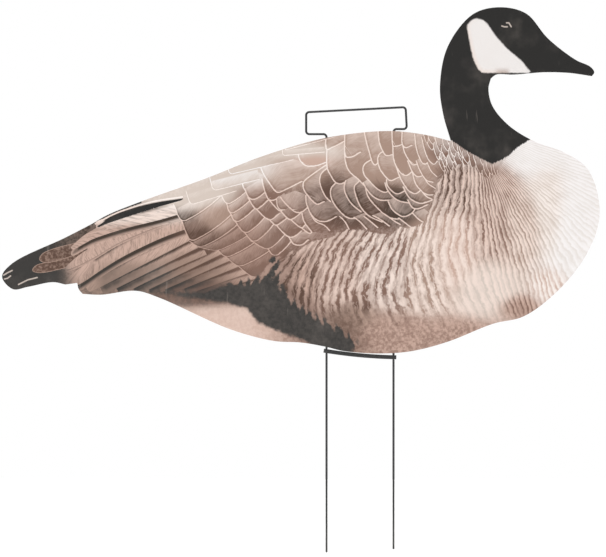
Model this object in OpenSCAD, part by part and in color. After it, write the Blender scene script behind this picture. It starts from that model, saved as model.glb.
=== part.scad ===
// Silhouette goose decoy: a printed twin-wall plastic sheet that slides on a bent wire stake.
// +X is towards the bill, +Y towards the bird's left side, +Z up. Z = 0 is the soil line.
// The origin is midway between the two legs of the stake.

/* [Sheet] */
// Thickness of the twin-wall sheet
board_t = 4; // [3.8:0.1:5]
// Thickness of each flat wall of the sheet
wall_t = 0.35; // [0.25:0.05:0.4]
// Thickness of the ribs between the two walls
rib_t = 0.35; // [0.25:0.05:0.5]
// Distance from rib to rib
flute_pitch = 4.75; // [4.5:0.05:5]
// Thickness of the printed film on each face
film_t = 0.12; // [0.05:0.01:0.2]
// Height of the belly above the soil
belly_h = 113; // [100:1:125]
// Straight pieces that each curved span of the outline is drawn with
curve_steps = 8; // [4:1:10]

/* [Stake] */
// Diameter of the stake wire
wire_d = 2.8; // [2.4:0.1:3]
// Flutes from the middle of the stake to each leg
leg_flutes = 9; // [7:1:10]
// Bend radius of the wire, at its centre
bend_r = 4; // [3.5:0.1:4.2]
// Swelling of the wire's diameter where it is bent
bend_swell = 0.02; // [0.01:0.01:0.05]
// Depth of the rear leg below the soil line
rear_leg_depth = 141; // [120:1:160]
// Depth of the front leg below the soil line
front_leg_depth = 137; // [120:1:160]
// Height of the rear shoulder above the belly
rear_shoulder_h = 280; // [280:0.5:290]
// Height of the front shoulder above the belly
front_shoulder_h = 286.5; // [286.5:0.5:295]
// Distance from the rear leg back to the end of the handle
rear_overhang = 26; // [20:1:40]
// Distance from the front leg forward to the end of the handle
front_overhang = 17; // [14:1:40]
// Rise of the handle above each shoulder
handle_rise = 28; // [24:1:60]
// Backward lean of the handle's front upright, over its rise
front_lean = 1.5; // [0:0.5:4]
// Diameter of the necks that the keeper grips
neck_d = 2.4; // [2:0.1:2.4]
// Length of each neck
neck_len = 6; // [5:0.5:7]
// Chamfer of the cut tips
tip_chamfer = 0.5; // [0.2:0.1:0.8]

/* [Keeper] */
// Outer diameter of the rubber tube
keeper_d = 5.2; // [4.8:0.1:5.4]
// Diameter of the hollow along the tube
keeper_hollow_d = 2.6; // [2:0.1:3]
// Height of the tube's rear end above the belly line
keeper_rear_h = 3.6; // [2:0.1:3.8]
// Drop of the tube's front end below the belly line
keeper_front_drop = 4.9; // [4.6:0.1:8]
// Sag of the tube between its ends
keeper_sag = 1.7; // [1.5:0.1:3]
// How far the tube reaches past each leg
keeper_overhang = 3.6; // [3:0.1:8]
// Clearance of the holes that the legs pass through, on the radius
keeper_clearance = 0.05; // [0.02:0.01:0.1]

/* [Hidden] */
round_fn = 48;
arc_fn = 360;
cut_slack = 1;
bend_lap = 0.1;
leg_x = leg_flutes * flute_pitch;
wire_r = wire_d / 2;

// The outline is closed by runs, in mm from the belly line. Each run is one smooth curve through a few
// knots, set where the bird's shape turns, and the sheet has a corner where one run meets the next.
// Tail: from the notch along the underside, round the blunt tip and up to the folded wing.
tail_run = [
    [-376, 88], [-392, 91], [-424, 85], [-443, 82], [-457, 98], [-444, 115], [-376, 148], [-343, 165]
];
// Back: over the folded wing and the highest point of the back to the foot of the neck.
back_run = [
    [-343, 165], [-322, 177], [-274, 196], [-198, 223], [-124, 252], [-45, 275], [36, 284], [84, 279],
    [116, 271]
];
// Nape, crown and the top of the bill, down to its tip.
nape_run = [
    [116, 271], [106, 306], [102, 342], [112, 392], [144, 433], [178, 442], [212, 434], [240, 402],
    [275, 375], [294, 366], [299, 359], [296, 354]
];
// Underside of the bill and the chin.
bill_run = [[296, 354], [268, 358], [236, 359], [196, 356], [174, 356], [167, 351]];
// Throat, breast, belly and vent, up to the lowest flight feather.
breast_run = [
    [167, 351], [164, 338], [169, 316], [190, 291], [222, 271], [262, 256], [290, 236], [304, 200],
    [304, 164], [284, 118], [246, 74], [208, 47], [170, 38], [112, 15], [66, 3], [26, 0], [-20, 3],
    [-46, 9], [-76, 14], [-110, 16], [-166, 31], [-256, 71], [-286, 80], [-330, 75], [-354, 76]
];
// Blunt end of the lowest flight feather, and the notch between it and the tail.
wing_tip_run = [[-354, 76], [-359, 82], [-361, 90]];
notch_run = [[-361, 90], [-376, 88]];
OUTLINE_RUNS = [tail_run, back_run, nape_run, bill_run, breast_run, wing_tip_run, notch_run];

// A Catmull-Rom curve through the points of a run, spaced by the square root of their distance.
function gap(a, b) = sqrt(norm(b - a));
function slope(run, i) =
    let (last = len(run) - 1)
    i == 0 ? (run[1] - run[0]) / gap(run[0], run[1]) :
    i == last ? (run[last] - run[last - 1]) / gap(run[last - 1], run[last]) :
    let (before = gap(run[i - 1], run[i]), after = gap(run[i], run[i + 1]))
    (run[i] - run[i - 1]) / before - (run[i + 1] - run[i - 1]) / (before + after)
        + (run[i + 1] - run[i]) / after;
function blend(a, b, slope_a, slope_b, t) =
    (2 * t ^ 3 - 3 * t ^ 2 + 1) * a + (t ^ 3 - 2 * t ^ 2 + t) * slope_a
        + (3 * t ^ 2 - 2 * t ^ 3) * b + (t ^ 3 - t ^ 2) * slope_b;
function smooth(run) = [
    for (i = [0:len(run) - 2])
        let (g = gap(run[i], run[i + 1]))
        for (k = [0:curve_steps - 1])
            blend(run[i], run[i + 1], g * slope(run, i), g * slope(run, i + 1), k / curve_steps)
];
goose_points = [for (run = OUTLINE_RUNS) each smooth(run)];
goose_left = min([for (p = goose_points) p[0]]);
goose_right = max([for (p = goose_points) p[0]]);
goose_top = max([for (p = goose_points) p[1]]);

// The wire's centre line, from the rear tip round the handle to the front tip, in X and Z.
rear_z = belly_h + rear_shoulder_h;
front_z = belly_h + front_shoulder_h;
handle_front_x = leg_x + front_overhang;
WIRE_ROUTE = [
    [-leg_x, -rear_leg_depth],
    [-leg_x, rear_z],
    [-leg_x - rear_overhang, rear_z],
    [-leg_x - rear_overhang, rear_z + handle_rise],
    [handle_front_x - front_lean, front_z + handle_rise],
    [handle_front_x, front_z],
    [leg_x, front_z],
    [leg_x, -front_leg_depth]
];
last_corner = len(WIRE_ROUTE) - 2;

function heading(i) = (WIRE_ROUTE[i + 1] - WIRE_ROUTE[i]) / norm(WIRE_ROUTE[i + 1] - WIRE_ROUTE[i]);
function angle_of(v) = atan2(v[1], v[0]);
function turn(i) =
    let (u = heading(i - 1), v = heading(i))
    atan2(u[0] * v[1] - u[1] * v[0], u * v);
function trim(i) = i < 1 || i > last_corner ? 0 : bend_r * tan(abs(turn(i)) / 2);

// The keeper's centre line is an arc that hangs between its two ends.
keeper_rear = [-leg_x - keeper_overhang, belly_h + keeper_rear_h];
keeper_front = [leg_x + keeper_overhang, belly_h - keeper_front_drop];
keeper_chord = norm(keeper_front - keeper_rear);
keeper_arc_r = (keeper_chord ^ 2 / 4 + keeper_sag ^ 2) / (2 * keeper_sag);
keeper_sweep = 2 * asin(keeper_chord / 2 / keeper_arc_r);
keeper_tilt = angle_of(keeper_front - keeper_rear);
keeper_centre = (keeper_rear + keeper_front) / 2
    + (keeper_arc_r - keeper_sag) * [-sin(keeper_tilt), cos(keeper_tilt)];
function keeper_z(x) = keeper_centre[1] - sqrt(keeper_arc_r ^ 2 - (x - keeper_centre[0]) ^ 2);

// Turns a drawing in X and Y up into the X-Z plane, with its thickness centred on mid_y.
module upright(thickness, mid_y = 0) {
    translate([0, mid_y + thickness / 2, 0])
        rotate([90, 0, 0])
            linear_extrude(thickness)
                children();
}

module goose_outline() {
    translate([0, belly_h])
        polygon(goose_points);
}

// A length of wire that starts at the local origin and runs up the local Z axis.
module wire_stretch(length, diameter = wire_d) {
    cylinder(h = length, d = diameter, $fn = round_fn);
}

// A leg from its tip: the chamfer, the plain wire that goes into the soil, the neck inside the
// keeper, and the plain wire that runs up through the sheet.
module wire_leg(length, neck_middle) {
    cylinder(h = tip_chamfer, d1 = wire_d - 2 * tip_chamfer, d2 = wire_d, $fn = round_fn);
    translate([0, 0, tip_chamfer])
        wire_stretch(neck_middle - neck_len / 2 - tip_chamfer);
    translate([0, 0, neck_middle - neck_len])
        wire_stretch(2 * neck_len, neck_d);
    translate([0, 0, length + bend_lap])
        rotate([180, 0, 0])
            wire_stretch(length + bend_lap - neck_middle - neck_len / 2);
}

// A bend that starts at the local origin, heading up, and turns towards -X, or +X if negative.
module wire_bend(turn_angle) {
    mirror([turn_angle < 0 ? 1 : 0, 0, 0])
        translate([-bend_r, 0, 0])
            rotate([90, 0, 0])
                rotate_extrude(angle = abs(turn_angle), $fn = arc_fn)
                    translate([bend_r, 0])
                        circle(d = wire_d + bend_swell, $fn = round_fn);
}

// Stretch i of the route, then the bend at its end and everything after it. Each piece stands in
// the frame of the one before it, and a stretch laps into its bends.
module wire_from(i) {
    length = norm(WIRE_ROUTE[i + 1] - WIRE_ROUTE[i]) - trim(i) - trim(i + 1);
    if (i == 0)
        wire_leg(length, rear_leg_depth + keeper_z(-leg_x));
    else if (i == last_corner)
        translate([0, 0, length])
            rotate([180, 0, 0])
                wire_leg(length, front_leg_depth + keeper_z(leg_x));
    else
        translate([0, 0, -bend_lap])
            wire_stretch(length + 2 * bend_lap);
    if (i < last_corner)
        translate([0, 0, length]) {
            arm = sign(turn(i + 1)) * bend_r;
            wire_bend(turn(i + 1));
            translate([-arm, 0, 0])
                rotate([0, -turn(i + 1), 0])
                    translate([arm, 0, 0])
                        wire_from(i + 1);
        }
}

module wire_stake() {
    color("#2b2c2e")
        translate([-leg_x, 0, -rear_leg_depth])
            wire_from(0);
}

module keeper_tube() {
    leg_hole_d = wire_d + 2 * keeper_clearance;
    color("#1d1d1f")
        difference() {
            translate([keeper_centre[0], 0, keeper_centre[1]])
                rotate([90, 0, 0])
                    rotate([0, 0, 270 + keeper_tilt - keeper_sweep / 2])
                        rotate_extrude(angle = keeper_sweep, $fn = arc_fn)
                            translate([keeper_arc_r, 0])
                                difference() {
                                    circle(d = keeper_d, $fn = round_fn);
                                    circle(d = keeper_hollow_d, $fn = round_fn);
                                }
            for (x = [-leg_x, leg_x])
                translate([x, 0, keeper_z(x) - keeper_d])
                    cylinder(h = 2 * keeper_d, d = leg_hole_d, $fn = round_fn);
        }
}

// The sheet is one extrusion: two flat walls joined by upright ribs, open at every cut edge.
module board() {
    flute_w = flute_pitch - rib_t;
    first_flute = floor(goose_left / flute_pitch);
    last_flute = ceil(goose_right / flute_pitch);
    color("#e9e7e1")
        difference() {
            upright(board_t)
                goose_outline();
            for (i = [first_flute:last_flute])
                translate([i * flute_pitch - flute_w / 2, wall_t - board_t / 2, belly_h - cut_slack])
                    cube([flute_w, board_t - 2 * wall_t, goose_top + 2 * cut_slack]);
        }
}

module right_print() {
    color("#8f7a6d")
        upright(film_t, -(board_t + film_t) / 2)
            goose_outline();
}

module left_print() {
    color("#8f7a6d")
        upright(film_t, (board_t + film_t) / 2)
            goose_outline();
}

wire_stake();
keeper_tube();
board();
right_print();
left_print();
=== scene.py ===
import math

import bpy
import numpy as np
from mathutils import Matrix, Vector
from mathutils.geometry import delaunay_2d_cdt


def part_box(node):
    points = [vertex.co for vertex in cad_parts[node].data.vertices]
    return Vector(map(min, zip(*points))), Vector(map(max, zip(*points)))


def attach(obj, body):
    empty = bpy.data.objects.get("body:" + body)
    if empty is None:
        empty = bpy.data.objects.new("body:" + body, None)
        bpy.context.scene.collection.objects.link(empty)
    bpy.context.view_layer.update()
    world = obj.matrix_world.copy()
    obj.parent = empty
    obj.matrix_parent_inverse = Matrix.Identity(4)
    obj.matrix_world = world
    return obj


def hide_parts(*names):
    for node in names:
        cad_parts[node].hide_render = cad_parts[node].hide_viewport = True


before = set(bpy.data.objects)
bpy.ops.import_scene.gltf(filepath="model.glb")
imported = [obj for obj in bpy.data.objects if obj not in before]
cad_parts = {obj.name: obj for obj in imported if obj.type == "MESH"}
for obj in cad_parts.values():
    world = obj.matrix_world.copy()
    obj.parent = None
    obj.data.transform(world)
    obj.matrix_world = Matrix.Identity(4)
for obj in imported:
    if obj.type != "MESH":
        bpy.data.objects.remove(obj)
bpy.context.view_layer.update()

# ------------------------------------------------------------------ the set
# A flat silhouette is seen square on, so a long lens 6 m off keeps the wire and the sheet true to size.
# The stake stands on a pale floor, under a white sky, with one soft light on each side and one overhead.
camera = bpy.data.objects.new("camera", bpy.data.cameras.new("camera"))
bpy.context.scene.collection.objects.link(camera)
sensor_mm = 36
distance, seen_width = 6.0, 0.7735
camera.data.sensor_width = sensor_mm
camera.data.lens = sensor_mm * distance / seen_width
camera.data.clip_end = 60
camera.location = (-0.0728, -distance - 0.002, 0.2087)
camera.rotation_euler = (math.pi / 2, 0, 0)
bpy.context.scene.camera = camera
bpy.context.scene.view_settings.view_transform = "Standard"
bpy.context.scene.view_settings.look = "None"

world = bpy.data.worlds.new("white_sky")
bpy.context.scene.world = world
world.use_nodes = True
sky = world.node_tree
sky_light = sky.nodes["Background"]
sky_light.inputs["Color"].default_value = (1, 1, 1, 1)
sky_light.inputs["Strength"].default_value = 0.56
sky_seen = sky.nodes.new("ShaderNodeBackground")
sky_seen.inputs["Color"].default_value = (1, 1, 1, 1)
ray = sky.nodes.new("ShaderNodeLightPath")
either = sky.nodes.new("ShaderNodeMixShader")
sky.links.new(ray.outputs["Is Camera Ray"], either.inputs[0])
sky.links.new(sky_light.outputs[0], either.inputs[1])
sky.links.new(sky_seen.outputs[0], either.inputs[2])
sky.links.new(either.outputs[0], sky.nodes["World Output"].inputs["Surface"])


def soft_light(name, place, watts, size):
    """A square area light at place, turned to the middle of the sheet."""
    lamp = bpy.data.lights.new(name, "AREA")
    lamp.energy, lamp.size = watts, size
    holder = bpy.data.objects.new(name, lamp)
    bpy.context.scene.collection.objects.link(holder)
    holder.location = place
    holder.rotation_euler = (Vector((-0.05, 0, 0.25)) - Vector(place)).to_track_quat("-Z", "Y").to_euler()


soft_light("near_light", (-1.9, -3.2, 2.3), 41, 2.2)
soft_light("far_light", (1.9, 3.2, 2.3), 41, 2.2)
soft_light("top_light", (0.0, 0.0, 3.4), 70, 3.0)

# ------------------------------------------------------------------ the wire stake
# One length of 2.8 mm spring wire, bent cold and coated black. The coat is satin with a fine orange-peel
# skin, and it is rubbed back to grey steel on the last centimetres that go into the soil.


class Sketch:
    """Puts nodes into one tree: each call adds a node, wires what it is given, and returns an output."""

    def __init__(self, tree):
        self.tree = tree

    def node(self, kind, out=0, **given):
        made = self.tree.nodes.new("ShaderNode" + kind)
        sockets = given.pop("sockets", {})
        for key, value in given.items():
            setattr(made, key, value)
        for key, value in sockets.items():
            self.feed(made.inputs[key], value)
        return made.outputs[out]

    def feed(self, socket, value):
        if isinstance(value, bpy.types.NodeSocket):
            self.tree.links.new(value, socket)
        elif socket.type == "RGBA" and not hasattr(value, "__len__"):
            socket.default_value = (value, value, value, 1)
        elif socket.type == "RGBA":
            socket.default_value = (*value[:3], 1)
        else:
            socket.default_value = value

    def sum(self, kind, a, b=0.0):
        """One step of arithmetic: kind is ADD, SINE and so on."""
        made = self.tree.nodes.new("ShaderNodeMath")
        made.operation = kind
        self.feed(made.inputs[0], a)
        self.feed(made.inputs[1], b)
        return made.outputs[0]

    def plus(self, a, *more):
        """The sum of all that is given."""
        for b in more:
            a = self.sum("ADD", a, b)
        return a

    def minus(self, a, b):
        return self.sum("SUBTRACT", a, b)

    def times(self, a, *more):
        """The product of all that is given."""
        for b in more:
            a = self.sum("MULTIPLY", a, b)
        return a

    def over(self, a, b):
        return self.sum("DIVIDE", a, b)

    def most(self, a, *more):
        """The highest of all that is given."""
        for b in more:
            a = self.sum("MAXIMUM", a, b)
        return a

    def rise(self, value, low, high, to_low=0.0, to_high=1.0):
        """A smooth step: to_low up to low, to_high from high on, and an S-curve between."""
        made = self.tree.nodes.new("ShaderNodeMapRange")
        made.interpolation_type = "SMOOTHSTEP"
        for socket, v in zip(made.inputs, (value, low, high, to_low, to_high)):
            self.feed(socket, v)
        return made.outputs[0]

    def blend(self, share, a, b):
        """Colour a where share is 0 and colour b where it is 1."""
        made = self.tree.nodes.new("ShaderNodeMix")
        made.data_type = "RGBA"
        self.feed(made.inputs[0], share)
        self.feed(made.inputs[6], a)
        self.feed(made.inputs[7], b)
        return made.outputs[2]

    def noise(self, where, scale, detail=2.0, rough=0.5):
        """Cloudy noise from 0 to 1."""
        given = {"Vector": where, "Scale": scale, "Detail": detail, "Roughness": rough}
        return self.node("TexNoise", sockets=given)

    def object_place(self):
        """The place in the object's own metres."""
        return self.node("TexCoord", out=3)


def finish_for(name):
    """A new material: returns it with a sketch of its tree and its Principled shader."""
    made = bpy.data.materials.new(name)
    made.use_nodes = True
    return made, Sketch(made.node_tree), made.node_tree.nodes["Principled BSDF"]


# Wear and dust, used by every finish here: rubbed spots in clouds, crossed by fine scratches.
worn = bpy.data.node_groups.new("rubbed_wear", "ShaderNodeTree")
worn.interface.new_socket("Amount", in_out="INPUT", socket_type="NodeSocketFloat")
worn.interface.new_socket("Scale", in_out="INPUT", socket_type="NodeSocketFloat")
worn.interface.new_socket("Wear", in_out="OUTPUT", socket_type="NodeSocketFloat")
w_sketch = Sketch(worn)
w_in, w_out = worn.nodes.new("NodeGroupInput"), worn.nodes.new("NodeGroupOutput")
w_place = w_sketch.object_place()
w_cloud = w_sketch.rise(w_sketch.noise(w_place, w_in.outputs["Scale"], 4.0, 0.6), 0.5, 0.8)
w_turned = {"Vector": w_place, "Rotation": (0.3, 0.9, 0.2), "Scale": (14, 1, 1.6)}
w_slant = w_sketch.node("Mapping", sockets=w_turned)
w_lines = w_sketch.rise(w_sketch.noise(w_slant, w_in.outputs["Scale"], 3.0), 0.66, 0.76)
w_both = w_sketch.most(w_cloud, w_lines)
worn.links.new(w_sketch.times(w_both, w_in.outputs["Amount"]), w_out.inputs["Wear"])


def wear(sketch, amount, scale):
    """Adds the shared wear to a material: how strong it is, and how many clouds to a metre."""
    made = sketch.tree.nodes.new("ShaderNodeGroup")
    made.node_tree = worn
    made.inputs["Amount"].default_value = amount
    made.inputs["Scale"].default_value = scale
    return made.outputs["Wear"]


wire_coat, k, shader = finish_for("black_coated_wire")
place = k.object_place()
height = k.node("SeparateXYZ", out=2, sockets={"Vector": place})
soil_rub = k.rise(height, -0.141, -0.075, 0.55, 0.0)
rubbed = k.times(k.plus(wear(k, 0.5, 60.0), soil_rub), k.rise(k.noise(place, 900.0, 3.0), 0.42, 0.6))
k.feed(shader.inputs["Base Color"], k.blend(rubbed, (0.021, 0.021, 0.022), (0.16, 0.155, 0.15)))
k.feed(shader.inputs["Metallic"], k.times(rubbed, 0.8))
k.feed(shader.inputs["Roughness"], k.plus(0.40, k.times(k.noise(place, 400.0), 0.16)))
skin = k.node("Bump", sockets={"Strength": 0.25, "Distance": 0.0002, "Height": k.noise(place, 1400.0, 2.0)})
k.feed(shader.inputs["Normal"], skin)
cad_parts["wire_stake"].data.materials.clear()
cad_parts["wire_stake"].data.materials.append(wire_coat)

# ------------------------------------------------------------------ the keeper
# A short black rubber tube pushed over both legs under the belly. It is matt, a little chalky, and has
# faint drawing lines along it from the die.
rubber, k, shader = finish_for("black_rubber")
place = k.object_place()
drawn = k.node("Mapping", sockets={"Vector": place, "Scale": (0.04, 1, 1)})
lines = k.noise(drawn, 2600.0, 2.0)
chalk = k.plus(wear(k, 0.35, 90.0), k.times(k.noise(place, 220.0, 3.0), 0.15))
k.feed(shader.inputs["Base Color"], k.blend(chalk, (0.016, 0.016, 0.016), (0.075, 0.073, 0.07)))
k.feed(shader.inputs["Roughness"], k.rise(lines, 0.3, 0.7, 0.62, 0.82))
skin = k.node("Bump", sockets={"Strength": 0.3, "Distance": 0.0002, "Height": lines})
k.feed(shader.inputs["Normal"], skin)
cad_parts["keeper_tube"].data.materials.clear()
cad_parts["keeper_tube"].data.materials.append(rubber)

# ------------------------------------------------------------------ the sheet's core
# 4 mm twin-wall polypropylene in natural white, cut to the bird's outline. Only its cut edge shows: two
# skins with ribs between, a little milky and scuffed by the knife.
twin_wall, k, shader = finish_for("white_twin_wall")
place = k.object_place()
scuffs = wear(k, 0.6, 120.0)
cloud = k.noise(place, 60.0, 3.0)
k.feed(shader.inputs["Base Color"], k.blend(k.most(scuffs, k.rise(cloud, 0.4, 0.8, 0.0, 0.5)),
                                            (0.80, 0.79, 0.765), (0.66, 0.645, 0.61)))
k.feed(shader.inputs["Roughness"], k.rise(cloud, 0.3, 0.7, 0.36, 0.52))
skin = k.node("Bump", sockets={"Strength": 0.3, "Distance": 0.0002, "Height": k.noise(place, 1500.0, 3.0)})
k.feed(shader.inputs["Normal"], skin)
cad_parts["board"].data.materials.clear()
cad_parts["board"].data.materials.append(twin_wall)

# ------------------------------------------------------------------ the two printed films: how they are cut
# Each face of the sheet carries one printed film, 0.12 mm thick, cut with the sheet. The picture is laid
# out in millimetres on the sheet's own plane (x towards the bill, z up from the soil line).
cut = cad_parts["right_print"].data
cut_at = np.zeros(len(cut.vertices) * 3)
cut.vertices.foreach_get("co", cut_at)
cut_at = cut_at.reshape(-1, 3) * 1000
cut.calc_loop_triangles()
cut_tris = np.zeros(len(cut.loop_triangles) * 3, int)
cut.loop_triangles.foreach_get("vertices", cut_tris)
cut_tris = cut_tris.reshape(-1, 3)
outer_face = (cut_at[cut_tris][:, :, 1] < cut_at[:, 1].min() + 0.01).all(1)
rim_points, same = np.unique(np.round(cut_at[:, [0, 2]], 3), axis=0, return_inverse=True)
same = same.reshape(-1)


def rim_of(tris):
    """The edges that only one triangle has, in the direction that triangle runs them."""
    runs = np.concatenate([tris[:, [0, 1]], tris[:, [1, 2]], tris[:, [2, 0]]])
    _, first, count = np.unique(np.sort(runs, 1), axis=0, return_index=True, return_counts=True)
    return runs[first[count == 1]]


rim = rim_of(same[cut_tris[outer_face]])
rim_from, rim_to = rim_points[rim[:, 0]], rim_points[rim[:, 1]]


def within(p, start, end):
    """True where a level line from p to the right crosses the closed outline an odd number of times."""
    above = (start[:, 1] > p[:, 1:]) != (end[:, 1] > p[:, 1:])
    rise = np.where(start[:, 1] == end[:, 1], 1e-9, end[:, 1] - start[:, 1])
    cross = start[:, 0] + (p[:, 1:] - start[:, 1]) / rise * (end[:, 0] - start[:, 0])
    return ((above & (p[:, :1] < cross)).sum(1) % 2).astype(bool)


def gap_to(p, start, end):
    """Distance from each point to the nearest of the segments start-end."""
    run = end - start
    share = ((p[:, None] - start) * run).sum(2) / np.maximum((run * run).sum(1), 1e-9)
    return np.linalg.norm(p[:, None] - start - np.clip(share, 0, 1)[..., None] * run, axis=2).min(1)


# ------------------------------------------------------------------ the printed feathers
# Every wing, back and tail feather of the print is a cell of the picture: upper cells lie over lower ones,
# and those nearer the neck over those nearer the tail. They are listed in that order, lowest first.
plumes = []
# How a feather is inked: scalloped row, flight feather, brown covert, black vane, single scallop, broad pale
# flight feather, and the shade that one casts.
in_row, flight, brown, black, single, broad_flight, cast_shade = 1.0, 2.0, 3.0, 4.0, 5.0, 6.0, 7.0


def smooth(line):
    """A curve through a line's points (Catmull-Rom), with 4 steps between each pair."""
    fine = 4
    line = np.array(line, float)
    p = np.concatenate([[2 * line[0] - line[1]], line, [2 * line[-1] - line[-2]]])
    t = (np.arange(fine) / fine)[None, :, None]
    a, b, c, d = (v[:, None] for v in (p[:-3], p[1:-2], p[2:-1], p[3:]))
    square, cube = 2 * a - 5 * b + 4 * c - d, 3 * b - a - 3 * c + d
    curve = b + 0.5 * ((c - a) * t + square * t ** 2 + cube * t ** 3)
    return np.concatenate([curve.reshape(-1, 2), line[-1:]])


def quill(tip, lean, reach, wide, curl=0.0, corner=4.0, fringe=0.0, kind=flight, up=None, bow=0.0):
    """One feather by its lower corner: its lower side runs back at lean degrees for reach, bent by curl*b*b,
    and its end rises wide along up. Over the sheet a point is
    tip + up*(d + curl*b*b) + back*(b - bow*4*t*(1-t)), with t = d / wide.
    The outline goes down the end, round the corner, along the lower side and up again."""
    turn = math.radians(lean)
    back = np.array([math.cos(turn), math.sin(turn)])
    up = np.array([-back[1], back[0]]) if up is None else up
    q = np.linspace(0, 1, 6)
    top = wide * (1.3 if kind == in_row else 1.0)
    r = min(corner, 0.8 * wide)
    round_b, round_d = r * (1 - np.cos(q * np.pi / 2)), r * (1 - np.sin(q * np.pi / 2))
    b = np.concatenate([0 * q[:5], round_b, r + (reach - r) * q[1:], [reach] * 2, reach * (1 - q[1:5])])
    d = np.concatenate([top + (r - top) * q[:5], round_d, 0 * q[1:], [top / 2, top], top + 0 * q[1:5]])
    t = np.clip(d / wide, 0, 1)
    loop = np.array(tip) + np.outer(d + curl * b * b, up) + np.outer(b - bow * 4 * t * (1 - t), back)
    plumes.append({"loop": loop, "frame": [*tip, *up, *back, wide, curl, bow, r, fringe, kind], "edge": None})


def row(line, back, reach, curl, fringe):
    """One cell for each stretch of a line of corners, top first. Their back sides turn evenly from the first
    angle of back to the second, in degrees from +x."""
    line = np.array(line, float)
    turns = np.linspace(*back, len(line) - 1)
    for high, low, turn in list(zip(line[:-1], line[1:], turns))[::-1]:
        tall = float(np.linalg.norm(high - low))
        quill(low, turn, reach, tall, curl, 6.0, fringe, in_row, (high - low) / tall, 1.2)


def leaf(edge, under=(24, 8), fringe=1.9, kind=single, over=None):
    """One feather by its free edge, from the top round the tip. Its hidden side lies under mm further back,
    or is drawn out as over, from the end of the edge back to its start."""
    edge = smooth(edge)
    hidden = [edge[-1] + under, edge[0] + under] if over is None else smooth(over)
    run = np.gradient(edge, axis=0)
    inward = np.column_stack([-run[:, 1], run[:, 0]]) / np.linalg.norm(run, axis=1)[:, None]
    tip = edge[len(edge) * 2 // 3]
    spine = edge[0] + np.array(under) * 0.5 - tip
    tall = float(np.linalg.norm(spine))
    up = spine / tall
    plumes.append({"loop": np.concatenate([edge, hidden]), "edge": edge,
                   "frame": [*tip, *up, up[1], -up[0], tall, 0, 0, 4, fringe, kind],
                   "inner": np.concatenate([edge + 1.4 * inward, edge + 3.0 * inward])})


# tail: brown coverts over black
leaf([(-366, 238), (-394, 231), (-413, 226), (-418, 218), (-404, 216), (-376, 222)], (12, 4), 0.9, brown)
leaf([(-364, 254), (-388, 248), (-405, 241), (-409, 232), (-396, 229), (-364, 238)], (12, 4), 0.9, brown)
# bases of the flight feathers under the great coverts, then the flight feathers, lowest first
quill((-178, 186), 15, 80, 11, 0.0005)
quill((-200, 188), 17, 90, 12)
quill((-222, 188), 19, 100, 12)
quill((-246, 187), 22, 110, 13)
quill((-266, 187), 24, 115, 12)
quill((-285, 187), 26, 120, 11)
quill((-306, 187), 28, 122, 12, -0.0004)
quill((-327, 188), 26.5, 134, 15)
quill((-346, 190), 27.5, 150, 21, corner=5)


def broad_quill(edge, shade):
    """A broad pale flight feather, over the shade it casts: its own edge let down by up to shade mm."""
    edge = np.array(edge, float)
    drop = shade * np.minimum(np.arange(len(edge)) / 3, 1)
    leaf(edge - np.outer(drop, (0, 1)), (0, 18), 0.0, cast_shade)
    leaf(edge, (0, 18), 0.0, broad_flight)


broad_quill([(-352, 226), (-368, 214), (-377, 205), (-376, 199), (-366, 198), (-350, 206), (-328, 221),
             (-298, 239), (-254, 260), (-216, 274)], 9)
broad_quill([(-348, 246), (-362, 236), (-374, 225), (-376, 222), (-370, 221), (-342, 234), (-312, 252),
             (-286, 264), (-250, 278), (-216, 288)], 3)
broad_quill([(-337, 273), (-352, 264), (-366, 252), (-369, 248), (-365, 246), (-352, 253), (-336, 261),
             (-298, 273), (-254, 284), (-214, 296)], 8)
# a black sliver over the topmost one, a thin white edge, and a second shorter sliver along the outline
leaf([(-335, 276), (-334, 274), (-322, 279), (-298, 287), (-264, 298), (-226, 309)], (0, 9), 0.0, black,
     [(-226, 311), (-264, 305), (-298, 295), (-318, 287), (-330, 279)])
leaf([(-339, 279), (-336, 278), (-318, 288), (-298, 296), (-264, 306), (-226, 312)], (0, 2), 9.0, single,
     [(-226, 314), (-264, 308), (-298, 298), (-318, 290), (-335, 281)])
leaf([(-340, 282), (-335, 282), (-318, 291), (-298, 298.5), (-279, 305)], (0, 8), 0.0, black,
     [(-279, 316), (-300, 309), (-320, 298), (-342, 286)])
# great coverts and the rows over them
row([(-236, 298), (-227, 280), (-216, 255), (-203, 248), (-181, 244), (-170, 235), (-154, 223), (-135, 209)],
    (24, 20), 66, 0.003, 1.5)
row([(-179, 320), (-170, 302), (-165, 290), (-158, 279), (-146, 265), (-135, 254), (-117, 245), (-108, 236)],
    (24, 34), 42, 0.006, 1.7)
leaf([(-152, 336), (-150, 326), (-146, 320), (-139, 318), (-132, 322)])
leaf([(-92, 262), (-85, 252), (-74, 251), (-66, 257)])
leaf([(-108, 277), (-99, 267), (-91, 261), (-83, 262), (-74, 269)], (20, 12))
leaf([(-117, 284), (-108, 276), (-101, 279), (-92, 286)], (20, 12))
leaf([(-134, 298), (-124, 288), (-116, 283), (-110, 285), (-102, 292)], (20, 12))
leaf([(-144, 312), (-134, 297), (-126, 300), (-117, 308)], (20, 12))
leaf([(-148, 323), (-143, 312), (-137, 309), (-130, 311), (-121, 318)], (20, 12))
leaf([(-78, 275), (-66, 266), (-60, 268), (-52, 276)], (16, 10))
leaf([(-92, 286), (-76, 273), (-69, 277), (-58, 287)], (16, 10))
leaf([(-104, 297), (-92, 284), (-84, 285), (-74, 293)], (16, 10))
leaf([(-118, 310), (-104, 295), (-97, 297), (-88, 304)], (16, 10))
leaf([(-126, 336), (-124, 326), (-118, 310), (-110, 308), (-102, 313)], (16, 10))
leaf([(-107, 310), (-106, 301), (-102, 296), (-96, 296)], (10, 8), 1.4)
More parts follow.
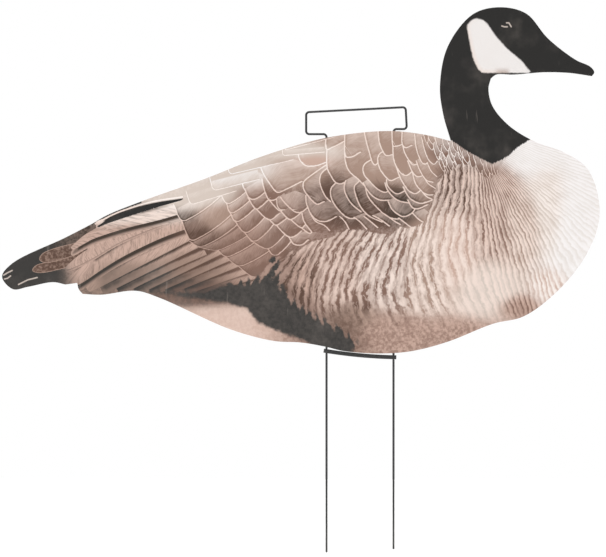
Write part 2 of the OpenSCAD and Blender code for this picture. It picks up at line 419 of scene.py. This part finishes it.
leaf([(-103, 313), (-95, 303), (-83, 293), (-74, 293), (-66, 299)], (20, 8))
leaf([(-128, 352), (-124, 342), (-115, 328), (-106, 318), (-94, 322), (-74, 332)], (30, 14))
leaf([(-80, 368), (-77, 359), (-69, 352), (-56, 352), (-44, 356)], (10, 8))
leaf([(-75, 292), (-72, 281), (-62, 267)], (20, 6))
leaf([(-64, 291), (-57, 281), (-46, 276), (-39, 269)], (20, 10))
leaf([(-70, 315), (-69, 304), (-63, 290), (-54, 282), (-42, 281), (-30, 287)])
leaf([(-44, 354), (-60, 343), (-72, 333), (-73, 324), (-68, 315), (-56, 303), (-46, 306)])
leaf([(-40, 352), (-50, 343), (-52, 331), (-46, 315), (-38, 306)], (16, 6))
# back and mantle, file by file
leaf([(-27, 288), (-20, 281), (-14, 270)], (16, 6))
leaf([(-31, 332), (-38, 323), (-37, 310), (-29, 297), (-17, 286), (-6, 285), (6, 290)])
leaf([(-43, 382), (-43, 352), (-38, 340), (-32, 331), (-23, 329), (-12, 336)], (16, 8))
leaf([(-44, 399), (-44, 374), (-34, 376), (-20, 383)])
leaf([(-9, 287), (0, 280), (8, 271)], (16, 6))
leaf([(-19, 334), (-21, 326), (-19, 316), (-11, 303), (1, 293)], (16, 8))
leaf([(4, 288), (14, 280), (22, 273)], (16, 6))
leaf([(-2, 333), (-8, 326), (-6, 314), (0, 300), (11, 288), (28, 280)], (20, 10))
leaf([(15, 289), (26, 283), (37, 275)], (16, 6))
leaf([(-20, 386), (-20, 362), (-15, 346), (-3, 335), (6, 326), (13, 322)])
leaf([(-20, 400), (-20, 367), (-11, 363), (0, 369)])
leaf([(33, 289), (44, 281), (51, 277)], (16, 6))
leaf([(6, 327), (9, 314), (18, 302), (31, 290), (44, 284), (58, 287), (70, 297)], (10, 20))
leaf([(48, 286), (60, 277), (67, 272)], (16, 6))
leaf([(3, 331), (8, 322), (16, 313), (26, 308), (41, 308)], (16, 10))
leaf([(14, 361), (6, 356), (3, 349), (5, 340), (13, 331), (21, 323), (31, 318), (40, 321)])
leaf([(4, 399), (7, 384), (11, 370), (15, 357), (20, 353), (27, 361)])
leaf([(66, 292), (74, 284), (80, 280)], (16, 6))
leaf([(35, 307), (40, 297), (48, 290), (56, 287), (66, 291), (73, 300)], (16, 10))
leaf([(31, 331), (34, 322), (41, 313), (50, 307), (64, 304)], (16, 8))
leaf([(33, 335), (34, 328), (40, 320), (48, 316), (58, 320)], (16, 10))
leaf([(36, 366), (29, 371), (23, 366), (22, 357), (26, 346), (34, 336), (40, 333), (49, 337)], (16, 6))
leaf([(22, 399), (24, 382), (28, 372), (33, 365), (41, 366)])
leaf([(60, 309), (66, 299), (74, 297), (86, 302)], (16, 8))
leaf([(54, 326), (61, 313), (70, 306), (80, 304), (92, 308)], (16, 8))
leaf([(45, 353), (51, 336), (60, 322), (67, 317), (73, 317), (80, 323)], (16, 8))
leaf([(41, 385), (42, 362), (47, 349), (54, 341), (61, 340), (68, 346)], (16, 8))
leaf([(40, 399), (41, 379), (47, 377), (56, 380)], (16, 8))
leaf([(76, 323), (84, 313), (95, 308)], (12, 8))
leaf([(66, 345), (70, 330), (78, 320), (86, 315), (96, 315)], (14, 8), 1.7)
leaf([(60, 359), (66, 345), (73, 338), (82, 340)], (14, 8), 1.7)
leaf([(53, 383), (56, 370), (62, 359), (68, 353), (76, 356)], (14, 8), 1.7)
leaf([(53, 397), (53, 381), (58, 375), (66, 378)], (12, 8), 1.6)
leaf([(80, 341), (86, 330), (96, 323)], (12, 8), 1.5)
leaf([(71, 359), (76, 346), (84, 334), (93, 331)], (12, 8), 1.5)
leaf([(69, 393), (71, 376), (76, 361), (82, 354), (90, 358)], (12, 8), 1.5)
leaf([(85, 357), (90, 346), (98, 338)], (10, 8), 1.4)
leaf([(78, 389), (82, 372), (87, 360), (94, 354), (99, 358)], (10, 8), 1.4)
# the small hackles that run down under the neck, in slanting files
luck = np.random.default_rng(5)
for file in range(25):
    for step in range(4, -1, -1):
        slip, longer = luck.normal(0, 0.8), luck.uniform(0.9, 1.25)
        x = 78 + 4.4 * file + 7.4 * step + slip
        z = 402 - 2.5 * file - 13 * step + 6.5 * (file % 2) + 2 * slip
        low = 17 * longer
        leaf([(x, z), (x + 1.2, z - 8), (x + 5.4, z - low + longer), (x + 8.2, z - low), (x + 8.8, z - 13)],
             (5, 7), 0.9)
# the washed-out feathers along the edge of the back
quill((-217, 302), 17, 62, 15, corner=6, fringe=1.2, kind=in_row)
quill((-188, 320), 14, 62, 14, corner=6, fringe=1.2, kind=in_row)
quill((-167, 341), 13, 84, 12, corner=5, fringe=1.2, kind=in_row)
quill((-99, 365), 5, 54, 8, corner=4, fringe=1.2, kind=in_row)
quill((-96, 372), 15, 66, 8, corner=3, fringe=1.0, kind=in_row)

feathers = np.array([p["frame"] for p in plumes], float)
corner_at, up, back = feathers[:, 0:2], feathers[:, 2:4], feathers[:, 4:6]
tall, curl, bow, rounding, fringe_width, feather_kind = feathers[:, 6:12].T

# The film's flat mesh: feather outlines, loose points 4 mm apart, and finer ones at the thin strokes.
# Loose points keep clear of the rim, and points closer than join_mm become one.
spread, rim_clear, fine_spread, join_mm = 4.0, 1.6, 0.7, 0.0005
gx, gz = np.meshgrid(np.arange(-460, 308, spread), np.arange(104, 558, spread * 0.87))
gx[1::2] += spread / 2
loose = np.column_stack([gx.ravel(), gz.ravel()]) + np.random.default_rng(5).uniform(-0.5, 0.5, (gx.size, 2))
loose = loose[within(loose, rim_from, rim_to)]
loose = loose[gap_to(loose, rim_from, rim_to) > rim_clear]
# thin pale strokes: two at the eye, three on the black of the tail
strokes = [[(181, 531), (184, 530), (188, 530)],
           [(187, 535), (190, 535), (193, 530)],
           [(-455, 213), (-450, 216), (-444, 219)],
           [(-454, 208), (-450, 209), (-446, 212)],
           [(-436, 201), (-424, 207), (-412, 210)]]
close = []
for stroke in strokes:
    (low_x, low_z), (high_x, high_z) = np.min(stroke, 0) - 2, np.max(stroke, 0) + 2
    fx, fz = np.meshgrid(np.arange(low_x, high_x, fine_spread), np.arange(low_z, high_z, fine_spread))
    close.append(np.column_stack([fx.ravel(), fz.ravel()]))
close = np.concatenate(close)
close = close[within(close, rim_from, rim_to)]
cells = [p["loop"] for p in plumes]
inner = np.concatenate([p["inner"] for p in plumes if p["edge"] is not None])
inner = inner[within(inner, rim_from, rim_to)]
first = len(rim_points) + np.cumsum([0] + [len(c) for c in cells])
flat_points = np.concatenate([rim_points, *cells, loose, inner, close])
cell_loops = [list(range(f, f + len(c))) for f, c in zip(first, cells)]
flat_points = [Vector(p) for p in flat_points.tolist()]
knit = delaunay_2d_cdt(flat_points, rim.tolist(), cell_loops, 0, join_mm, True)
at = np.array([v[:] for v in knit[0]])
tris = np.array(knit[2])
owner = np.array([max(o) if o else -1 for o in knit[5]])
keep = within(at[tris].mean(1), rim_from, rim_to)
tris, owner = tris[keep], owner[keep]
ahead, aside = at[tris[:, 1]] - at[tris[:, 0]], at[tris[:, 2]] - at[tris[:, 0]]
area = ahead[:, 0] * aside[:, 1] - ahead[:, 1] * aside[:, 0]
tris[area < 0] = tris[area < 0][:, ::-1]
used, tris = np.unique(tris, return_inverse=True)
tris, at = tris.reshape(-1, 3), at[used]
print("film:", len(tris), "triangles,", len(at), "points,", len(feathers), "feathers; rim", len(rim))

# Each triangle's corners in its own feather's back and up lengths: the outline's formula, undone in 4 steps.
own = np.maximum(owner, 0)
off = at[tris] - corner_at[own][:, None]
cross = up[own][:, 0] * back[own][:, 1] - up[own][:, 1] * back[own][:, 0]
a = (off[..., 0] * back[own][:, None, 1] - off[..., 1] * back[own][:, None, 0]) / cross[:, None]
c = (off[..., 1] * up[own][:, None, 0] - off[..., 0] * up[own][:, None, 1]) / cross[:, None]
b = c.copy()
for again in range(4):
    d = a - curl[own][:, None] * b * b
    t = np.clip(d / tall[own][:, None], 0, 1)
    b = c + bow[own][:, None] * 4 * t * (1 - t)
shade_of = np.random.default_rng(11).uniform(0, 1, len(feathers))
cell_sizes = np.stack([b, d, np.repeat(tall[own][:, None], 3, 1)], 2)
for number, plume in enumerate(plumes):
    if plume["edge"] is not None and (owner == number).any():
        mine = np.flatnonzero(owner == number)
        to_edge = gap_to(at[tris[mine]].reshape(-1, 2), plume["edge"][:-1], plume["edge"][1:])
        cell_sizes[mine, :, 0] = to_edge.reshape(-1, 3)
kind_here = np.where(owner < 0, 0, feather_kind[own])
cell_form = np.repeat(np.stack([rounding[own], fringe_width[own], kind_here], 1)[:, None], 3, 1)
cell_tone = np.zeros((len(tris), 3, 3))
cell_tone[..., 0] = shade_of[own][:, None]

# ------------------------------------------------------------------ the strands of flank, shoulder and breast
# These feathers are long and thin and run in files that fan out from the shoulder. A guide is one line of
# that flow, top first, with the number of strands counted up to it from the tail side.
guides = [
    (0.0, [(-65, 254), (-78, 233), (-89, 217), (-97, 199), (-94, 173)]),
    (2.5, [(-37, 269), (-52, 246), (-61, 222), (-68, 197), (-68, 166)]),
    (5.0, [(-14, 266), (-32, 241), (-39, 217), (-48, 192), (-50, 173), (-40, 150)]),
    (7.5, [(10, 266), (-6, 243), (-16, 217), (-22, 192), (-22, 170), (-11, 142)]),
    (9.5, [(31, 266), (17, 241), (7, 217), (-1, 189), (2, 166), (12, 144)]),
    (11.8, [(50, 264), (38, 231), (31, 205), (30, 186), (38, 163), (47, 146)]),
    (14.5, [(95, 329), (88, 299), (75, 270), (66, 246), (64, 222), (70, 188), (80, 155)]),
    (17.0, [(111, 343), (110, 316), (99, 288), (93, 259), (90, 222), (99, 188), (111, 164)]),
    (20.0, [(137, 352), (137, 321), (128, 285), (124, 242), (132, 206), (146, 173)]),
    (23.5, [(154, 338), (155, 310), (159, 285), (163, 242), (172, 206), (183, 178)]),
    (29.0, [(168, 338), (176, 316), (187, 285), (196, 259), (207, 224), (213, 197)]),
    (36.0, [(176, 345), (194, 321), (212, 296), (227, 274), (236, 252)]),
    (43.0, [(183, 354), (203, 338), (230, 316), (252, 296)]),
    (49.0, [(194, 363), (212, 352), (238, 336)]),
]


def along_line(p, line):
    """Distance right of a line (left counts negative) and the length run down it, with both ends drawn on."""
    line = np.array(line, float)
    line = np.concatenate([[line[0] + 3 * (line[0] - line[1])], line, [line[-1] + 3 * (line[-1] - line[-2])]])
    start, run = line[:-1], np.diff(line, axis=0)
    size = np.linalg.norm(run, axis=1)
    run = run / size[:, None]
    far = p[:, None] - start
    share = np.clip((far * run).sum(2), 0, size)
    gap = far - share[..., None] * run
    best = np.linalg.norm(gap, axis=2).argmin(1)
    n = np.arange(len(p))
    turn = run[best, 0] * far[n, best, 1] - run[best, 1] * far[n, best, 0]
    down = share[n, best] + np.concatenate([[0], np.cumsum(size)])[best] - size[0]
    return np.linalg.norm(gap[n, best], axis=1) * np.sign(turn), down


right_of, down_line = (np.stack(v, 1) for v in zip(*[along_line(at, g) for _, g in guides]))
count = np.array([g[0] for g in guides])
left = np.clip((right_of > 0).sum(1) - 1, 0, len(guides) - 2)
n = np.arange(len(at))
wide = np.maximum(right_of[n, left] - right_of[n, left + 1], 2.0)
share = np.clip(right_of[n, left] / wide, -3, 4)
strand_number = count[left] + share * (count[left + 1] - count[left])
near = np.clip(share, 0, 1)
strand_run = down_line[n, left] * (1 - near) + down_line[n, left + 1] * near
strand = np.column_stack([strand_number, strand_run, np.zeros(len(at))])


# ------------------------------------------------------------------ the fields of the print
# A field is a closed outline; its depth is the distance inside it, and negative outside. The print's inks
# change over the bird, so each has two: a pale one for fringes and a deep one for the vanes between.
def depth(p, outline):
    """How far inside a closed outline each point lies, in millimetres; negative outside."""
    outline = np.array(outline, float)
    ends = np.roll(outline, -1, 0)
    return gap_to(p, outline, ends) * np.where(within(p, outline, ends), 1, -1)


neck = [(116, 385.5), (137, 371), (153, 362.5), (168, 355), (179, 359), (189, 365), (202, 377), (217, 386),
        (332, 449), (332, 570), (89, 570), (89, 399)]
cheek = [(136, 531), (140.5, 537.5), (148, 541), (157, 539), (162.5, 534), (174, 517.5), (182, 508.5),
         (188, 502), (197, 494.5), (207, 486), (213, 478), (219.5, 471), (156, 471), (150, 476.5),
         (144, 490), (140.5, 505.5), (137.5, 522)]
flank = [(-135, 208), (-125, 217), (-111, 235), (-77, 246), (-65, 255), (-45, 260), (-24, 267), (-11, 272),
         (6, 269), (37, 264), (51, 274), (66, 273), (82, 281), (86, 294), (93, 309), (97, 328),
         (108, 342), (128, 354), (147, 352), (156, 340), (168, 337), (179, 347), (185, 360), (204, 385),
         (332, 436), (332, 60), (-140, 60)]
dark_flank = [(-292, 194), (-240, 193), (-200, 191), (-168, 204), (-134, 211), (-118, 217), (-115, 238),
              (-103, 238), (-99, 205), (-88, 186), (-70, 172), (-50, 160), (-28, 150), (-12, 139),
              (0, 126), (-16, 110), (-48, 118), (-76, 130), (-98, 139), (-118, 146), (-134, 154),
              (-142, 168), (-168, 177), (-204, 182), (-250, 189)]
eye_gap = np.min([gap_to(at, np.array(m[:-1], float), np.array(m[1:], float)) for m in strokes], 0)
fields_a = np.column_stack([depth(at, neck), depth(at, cheek), depth(at, flank)])
fields_b = np.column_stack([depth(at, dark_flank), eye_gap, 0 * eye_gap])

# The printer's inks, palest first, as colour codes 0xRRGGBB.
white, cream, blush, shell, fawn = 0xF0ECEB, 0xF0E6E0, 0xE8D6CC, 0xDCC4B8, 0xC4A698
tan, cocoa, umber, bark, soot = 0xA48A7C, 0x806458, 0x5C463C, 0x40362F, 0x3A3836
mist, dove, ash, coal = 0xE2DCD8, 0xD0C2B8, 0x4A4643, 0x292827
pools = [  # centre x and z, how far the pool spreads along each, pale ink, deep ink
    (-425, 220, 45, 30, soot, soot), (-355, 232, 22, 26, fawn, bark), (-290, 255, 50, 20, fawn, bark),
    (-300, 288, 60, 9, blush, bark), (-285, 205, 60, 17, tan, soot), (-215, 192, 50, 14, cocoa, soot),
    (-200, 225, 40, 18, tan, umber), (-205, 260, 30, 16, fawn, umber), (-180, 285, 20, 16, shell, tan),
    (-215, 315, 45, 14, cream, dove), (-60, 358, 22, 9, cream, fawn), (-150, 345, 50, 16, white, dove),
    (-80, 372, 50, 10, cream, dove), (-150, 250, 40, 30, fawn, cocoa), (-115, 300, 35, 25, shell, cocoa),
    (-85, 340, 40, 16, blush, tan), (-80, 270, 30, 25, shell, cocoa), (-35, 310, 35, 26, shell, umber),
    (0, 385, 55, 12, blush, tan), (20, 350, 40, 22, blush, tan), (10, 306, 50, 22, shell, umber),
    (48, 303, 22, 18, shell, bark), (-12, 308, 20, 16, shell, bark), (75, 355, 25, 40, blush, tan),
    (115, 368, 40, 14, cream, cocoa), (-185, 150, 60, 18, shell, fawn), (-12, 150, 26, 22, tan, umber),
    (-75, 200, 20, 40, fawn, umber), (-30, 220, 30, 40, shell, cocoa), (30, 225, 35, 35, blush, cocoa),
    (85, 225, 25, 50, blush, tan), (130, 325, 30, 24, shell, umber), (60, 140, 90, 16, fawn, cocoa),
    (120, 240, 30, 40, blush, fawn), (245, 200, 22, 20, cream, fawn), (175, 330, 25, 25, shell, cocoa),
    (170, 275, 28, 40, shell, cocoa), (160, 200, 35, 30, blush, dove), (205, 172, 22, 12, fawn, cocoa),
    (208, 272, 28, 40, blush, tan), (240, 300, 22, 60, cream, dove), (280, 260, 40, 90, white, mist),
    (225, 365, 50, 25, white, mist),
]


def linear(codes):
    """Colour codes 0xRRGGBB to the linear values that a renderer adds and mixes."""
    codes = np.array(codes)
    parts = np.stack([codes >> 16, codes >> 8 & 255, codes & 255], -1) / 255
    return np.where(parts < 0.04045, parts / 12.92, ((parts + 0.055) / 1.055) ** 2.4)


# Each place takes from every pool by 1 / (1 + q)^4, with q the squared distance in spreads of that pool.
# Inks mix at the power even_mix, which is about how the eye spaces light and dark.
even_mix = 0.45
pool_at, spread_of = np.array([p[:2] for p in pools], float), np.array([p[2:4] for p in pools], float)
pull = 1 / (1 + (((at[:, None] - pool_at) / spread_of) ** 2).sum(2)) ** 4
pull /= pull.sum(1)[:, None]
pale_ink = (pull @ linear([p[4] for p in pools]) ** even_mix) ** (1 / even_mix)
deep_ink = (pull @ linear([p[5] for p in pools]) ** even_mix) ** (1 / even_mix)

# ------------------------------------------------------------------ the print's ink
# Full-colour ink on a satin white film. All that is drawn comes from the lengths laid down above: scalloped
# feathers with pale fringes, quills, strands, then dark flank, neck, cheek and eye over them.
ink, k, shader = finish_for("printed_goose")
place = k.object_place()
mm = k.node("VectorMath", operation="SCALE", sockets={"Vector": place, "Scale": 1000.0})


def ink_of(code):
    """One ink's linear colour."""
    return tuple(linear(code))


def laid(name, out=1):
    """What the film's mesh carries under that name: output 1 is a vector, 0 a colour."""
    return k.node("Attribute", out=out, attribute_name=name)


def parts(vector):
    """A vector's three numbers."""
    made = k.tree.nodes.new("ShaderNodeSeparateXYZ")
    k.feed(made.inputs[0], vector)
    return made.outputs


px, _, pz = parts(mm)
back_mm, up_mm, tall_mm = parts(laid("cell"))
corner_mm, fringe_mm, kind_of = parts(laid("form"))
luck_of = parts(laid("tone"))[0]
strand_at, run_mm, _ = parts(laid("strand"))
neck_in, cheek_in, flank_in = parts(laid("field_a"))
charcoal_in, stroke_gap, _ = parts(laid("field_b"))
pale, deep = laid("pale_ink", 0), laid("deep_ink", 0)


def drift(size, amount, detail=2.0):
    """Noise with features of that many millimetres, from -amount/2 to amount/2."""
    return k.times(k.minus(k.noise(mm, 1.0 / size, detail), 0.5), amount)


def swing(noise, amount):
    """Noise from 0 to 1 made to swing by amount/2 either way."""
    return k.times(k.minus(noise, 0.5), amount)


def from_kind(number):
    """1 where the feather's kind is this one or a higher one."""
    return k.rise(kind_of, number - 0.6, number - 0.4)


def is_kind(number):
    """1 where the feather's kind is this one."""
    return k.rise(k.sum("ABSOLUTE", k.minus(kind_of, number)), 0.4, 0.6, 1.0, 0.0)


def past(value):
    """The part of a value over its last whole number."""
    return k.minus(value, k.sum("FLOOR", value))


# scallops: a pale fringe round the free edge, deepest just above the tip and under the next feather;
# in a row the edge is rounded: corner - hypot(max(corner - back, 0), max(corner - up, 0))
short_back = k.most(k.minus(corner_mm, back_mm), 0.0)
short_up = k.most(k.minus(corner_mm, up_mm), 0.0)
hypot = k.sum("SQRT", k.plus(k.times(short_back, short_back), k.times(short_up, short_up)))
drawn_by_edge = from_kind(brown)
edge = k.plus(k.blend(drawn_by_edge, k.minus(corner_mm, hypot), back_mm), drift(3.0, 1.3))
fringes_in = k.over(edge, k.most(fringe_mm, 0.05))
fringe = k.minus(1.0, k.rise(fringes_in, 0.45, 1.15))
rel_up = k.over(up_mm, tall_mm)
barb_map = k.node("CombineXYZ", sockets={
    "X": k.plus(k.times(back_mm, 0.09), k.times(up_mm, 0.04)),
    "Y": k.minus(k.times(up_mm, 0.8), k.times(back_mm, 0.45)),
    "Z": k.times(luck_of, 40.0)})
barbs = k.noise(barb_map, 1.0, 3.0, 0.6)
vane_deep = k.plus(swing(barbs, 0.6), k.rise(rel_up, 1.0, 0.15, 0.62, 0.96), swing(luck_of, 0.4),
                   drift(12.0, 0.45, 3.0))
under_next = k.rise(k.minus(tall_mm, up_mm), 2.6, 0.2)
vane_deep = k.most(vane_deep, k.blend(drawn_by_edge, under_next, 0.0))
halo = k.rise(fringes_in, 2.6, 1.0, 0.0, 0.22)
scallop_deep = k.times(k.plus(vane_deep, halo), k.minus(1.0, fringe))
# quills: pale along the lower side, deep under the feather above
quill_split = k.plus(rel_up, drift(30.0, 0.2), swing(barbs, 0.25))
under = k.rise(up_mm, 1.6, 0.2, 0.0, 0.35)
quill_deep = k.most(k.rise(quill_split, 0.42, 0.75), under, k.rise(barbs, 0.42, 0.75, 0.0, 0.45))
# the broad quills are drawn by their edge, so the shade of the one above is cast by distance from it
broad_deep = k.rise(k.plus(back_mm, drift(30.0, 5.0), swing(barbs, 4.0)), 11.0, 17.0)
broad_deep = k.most(broad_deep, k.rise(barbs, 0.40, 0.75, 0.0, 0.55))
cell_deep = k.blend(is_kind(flight), scallop_deep, quill_deep)
cell_deep = k.blend(from_kind(broad_flight), cell_deep, broad_deep)
cell_deep = k.most(cell_deep, k.times(from_kind(cast_shade), k.rise(back_mm, 0.0, 5.0, 0.1, 1.0)))
# the folded wing darkens towards its lower edge, least along the lower side of each quill
wing_height = k.plus(k.minus(pz, k.times(px, 0.06)), drift(20.0, 24.0, 3.0))
on_wing = k.times(k.rise(px, -344.0, -325.0), k.rise(px, -140.0, -215.0))
low_wing = k.times(k.rise(wing_height, 208.0, 262.0, 1.0, 0.0), on_wing)
low_side = k.rise(k.plus(rel_up, drift(8.0, 0.4)), 0.1, 0.6, 0.5, 1.0)
cell_deep = k.most(cell_deep, k.times(low_wing, low_side))
cell_ink = k.blend(cell_deep, pale, deep)
flecks = k.rise(k.noise(mm, 0.3, 4.0), 0.4, 0.7, 0.0, 0.6)
brown_ink = k.blend(k.most(fringe, flecks), ink_of(umber), ink_of(tan))
black_ink = k.blend(fringe, ink_of(coal), ink_of(mist))
cell_ink = k.blend(is_kind(brown), cell_ink, brown_ink)
cell_ink = k.blend(is_kind(black), cell_ink, black_ink)
# bare ground between feathers: tail, vent
mottle = k.rise(k.noise(mm, 0.26, 5.0, 0.6), 0.3, 0.7)
vent = k.rise(k.plus(pz, k.times(px, 0.25)), 146.0, 134.0)
dark_ground = k.rise(mottle, 0.0, 1.0, 0.8, 1.0)
pale_ground = k.rise(mottle, 0.0, 1.0, 0.25, 0.6)
ground = k.blend(k.blend(vent, dark_ground, pale_ground), pale, deep)
colour = k.blend(from_kind(in_row), ground, cell_ink)

# strands: broad soft bars on the flank, narrower ribbons on the shoulder, streaks on the breast
way = k.plus(strand_at, drift(34.0, 1.5, 3.0), drift(9.0, 0.7), drift(3.5, 0.5))
share = past(way)
cloth = k.node("CombineXYZ", sockets={"X": k.times(way, 0.7), "Y": k.times(run_mm, 0.028)})
strength = k.rise(k.noise(cloth, 1.0, 2.0), 0.36, 0.62, 0.5, 1.3)
valley = k.most(k.rise(share, 0.03, 0.36, 1.0, 0.0), k.rise(share, 0.82, 0.99, 0.0, 0.8))
ribbon_deep = k.plus(k.times(valley, strength), k.rise(share, 0.45, 0.7, 0.0, 0.42))
mid = k.sum("ABSOLUTE", k.minus(share, 0.45))
bar = k.rise(k.plus(mid, drift(16.0, 0.34, 3.0)), 0.42, 0.08)
bar_deep = k.plus(k.times(k.minus(1.0, bar), strength, 0.80), 0.12)
ribbon = k.rise(strand_at, 13.0, 17.0)
# fine pale threads at about three to a strand, broken along their length
thread_way = k.plus(k.times(strand_at, 2.7), drift(14.0, 2.6, 3.0), drift(4.0, 0.9))
thread_side = k.sum("ABSOLUTE", k.minus(past(thread_way), 0.5))
thread = k.times(k.rise(thread_side, 0.22, 0.06), k.rise(k.noise(mm, 0.09, 3.0), 0.42, 0.58, 0.0, 0.75))
streak_map = k.node("CombineXYZ", sockets={"X": k.times(strand_at, 3.2), "Y": k.times(run_mm, 0.06)})
hairs = k.noise(streak_map, 1.0, 3.0, 0.6)
patchy = k.rise(k.noise(mm, 0.045, 3.0), 0.3, 0.7, -0.15, 0.25)
threaded = k.times(thread, k.rise(strand_at, 30.0, 20.0))
lined_deep = k.blend(threaded, k.blend(ribbon, bar_deep, ribbon_deep), 0.1)
strand_deep = k.plus(lined_deep, patchy, swing(hairs, 1.1))
low_belly = k.rise(k.plus(pz, drift(18.0, 30.0)), 138.0, 180.0, 1.0, 0.0)
strand_deep = k.blend(low_belly, strand_deep, k.rise(mottle, 0.0, 1.0, 0.1, 0.75))
strand_ink = k.blend(strand_deep, pale, deep)
on_flank = k.rise(k.plus(flank_in, drift(6.0, 9.0)), -0.8, 0.8)
colour = k.blend(on_flank, colour, strand_ink)
# the charcoal of the rear flank, ragged where the bars run into it
upper_side = k.rise(k.plus(pz, k.times(px, 0.5)), 112.0, 124.0)
ragged = k.plus(charcoal_in, k.minus(drift(6.0, 8.0, 3.0), k.times(bar, upper_side, 7.0)))
colour = k.blend(k.times(k.rise(charcoal_in, -26.0, 0.0, 0.0, 0.45), on_flank), colour, deep)
colour = k.blend(k.rise(ragged, -2.5, 3.5), colour, k.blend(mottle, ink_of(ash), ink_of(soot)))
# neck, cheek, eye
tooth = k.node("Mapping", sockets={"Vector": mm, "Rotation": (0, 0.5, 0), "Scale": (0.7, 1, 0.12)})
neck_edge = k.plus(neck_in, swing(k.noise(tooth, 1.0, 2.0), 4.0))
plush = k.noise(mm, 0.5, 4.0, 0.6)
neck_ink = k.blend(k.times(plush, 0.15), ink_of(coal), ink_of(soot))
colour = k.blend(k.rise(neck_edge, -0.8, 0.8), colour, neck_ink)
cheek_edge = k.plus(cheek_in, drift(3.0, 1.6))
warm = k.times(k.rise(cheek_in, 7.0, 0.5), k.rise(k.plus(px, k.times(pz, 0.6)), 480.0, 440.0))
cheek_ink = k.blend(k.times(warm, 0.6), k.blend(0.5, ink_of(white), ink_of(mist)), ink_of(blush))
beside_chin = k.sum("ABSOLUTE", k.minus(px, 182.0))
smudge = k.times(k.rise(pz, 480.0, 471.0), k.rise(beside_chin, 12.0, 4.0))
cheek_ink = k.blend(k.times(smudge, 0.6), cheek_ink, ink_of(tan))
colour = k.blend(k.rise(cheek_edge, -1.0, 1.4), colour, cheek_ink)
colour = k.blend(k.rise(stroke_gap, 1.3, 0.3, 0.0, 0.85), colour, ink_of(dove))

handled = wear(k, 0.10, 14.0)
k.feed(shader.inputs["Base Color"], k.blend(handled, colour, ink_of(dove)))
k.feed(shader.inputs["Roughness"], k.rise(k.noise(mm, 0.03, 3.0), 0.3, 0.7, 0.46, 0.58))
shader.inputs["Specular IOR Level"].default_value = 0.14
# the ribs of the core press through the film as a faint ripple, one flute pitch apart
flute_pitch = 4.75
ripple = k.sum("SINE", k.times(px, 2 * math.pi / flute_pitch))
grain = k.noise(mm, 1.6, 2.0)
relief = k.plus(k.times(ripple, 0.5), k.times(grain, 0.5))
skin = k.node("Bump", sockets={"Strength": 0.25, "Distance": 0.00005, "Height": relief})
k.feed(shader.inputs["Normal"], skin)

# ------------------------------------------------------------------ the two printed films
# Front and back carry the same cut and the same picture, each seen from its own side. A film is closed:
# its printed face, its glued face and the thin cut wall between them.
walls = rim_of(tris)
m = len(at)
for name, node, sign in (("right_film", "right_print", -1), ("left_film", "left_print", 1)):
    low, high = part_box(node)
    face_y, glue_y = (low.y, high.y) if sign < 0 else (high.y, low.y)
    spots = np.concatenate([np.column_stack([at[:, 0] / 1000, np.full(m, face_y), at[:, 1] / 1000]),
                            np.column_stack([at[:, 0] / 1000, np.full(m, glue_y), at[:, 1] / 1000])])
    front, rear = tris, tris[:, ::-1] + m
    sides = np.column_stack([walls[:, 1], walls[:, 0], walls[:, 0] + m, walls[:, 1] + m])
    if sign > 0:
        front, rear, sides = front[:, ::-1], rear[:, ::-1], sides[:, ::-1]
    mesh = bpy.data.meshes.new(name)
    mesh.from_pydata(spots.tolist(), [], front.tolist() + rear.tolist() + sides.tolist())
    for label, values in (("cell", cell_sizes), ("form", cell_form), ("tone", cell_tone)):
        on_front = values if sign < 0 else values[:, ::-1]
        on_rear = values[:, ::-1] if sign < 0 else values
        on_sides = np.zeros((len(sides) * 4, 3))
        both = np.concatenate([on_front.reshape(-1, 3), on_rear.reshape(-1, 3), on_sides]).astype(np.float32)
        mesh.attributes.new(label, "FLOAT_VECTOR", "CORNER").data.foreach_set("vector", both.ravel())
    for label, values in (("strand", strand), ("field_a", fields_a), ("field_b", fields_b)):
        both = np.concatenate([values, values]).astype(np.float32)
        mesh.attributes.new(label, "FLOAT_VECTOR", "POINT").data.foreach_set("vector", both.ravel())
    for label, values in (("pale_ink", pale_ink), ("deep_ink", deep_ink)):
        both = np.concatenate([np.column_stack([values, np.ones(m)])] * 2).astype(np.float32)
        mesh.attributes.new(label, "FLOAT_COLOR", "POINT").data.foreach_set("color", both.ravel())
    film = bpy.data.objects.new(name, mesh)
    bpy.context.scene.collection.objects.link(film)
    mesh.materials.append(ink)
    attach(film, "sheet")
    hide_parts(node)

# ------------------------------------------------------------------ the floor
# Plain pale floor, a flat sheet of four corners, level with the tips of the legs. It glows a little, so that
# it stays as pale as the sky behind it. It isn't part of the object.
floor_mesh = bpy.data.meshes.new("floor")
half, level = 2.2, -0.1412
corners = [(-half, -half, level), (half, -half, level), (half, half, level), (-half, half, level)]
floor_mesh.from_pydata(corners, [], [(0, 1, 2, 3)])
floor = bpy.data.objects.new("floor", floor_mesh)
bpy.context.scene.collection.objects.link(floor)
pale_floor, k, shader = finish_for("pale_floor")
k.feed(shader.inputs["Base Color"], (0.93, 0.93, 0.925))
shader.inputs["Roughness"].default_value = 0.8
shader.inputs["Emission Color"].default_value = (1, 1, 1, 1)
shader.inputs["Emission Strength"].default_value = 0.30
floor_mesh.materials.append(pale_floor)
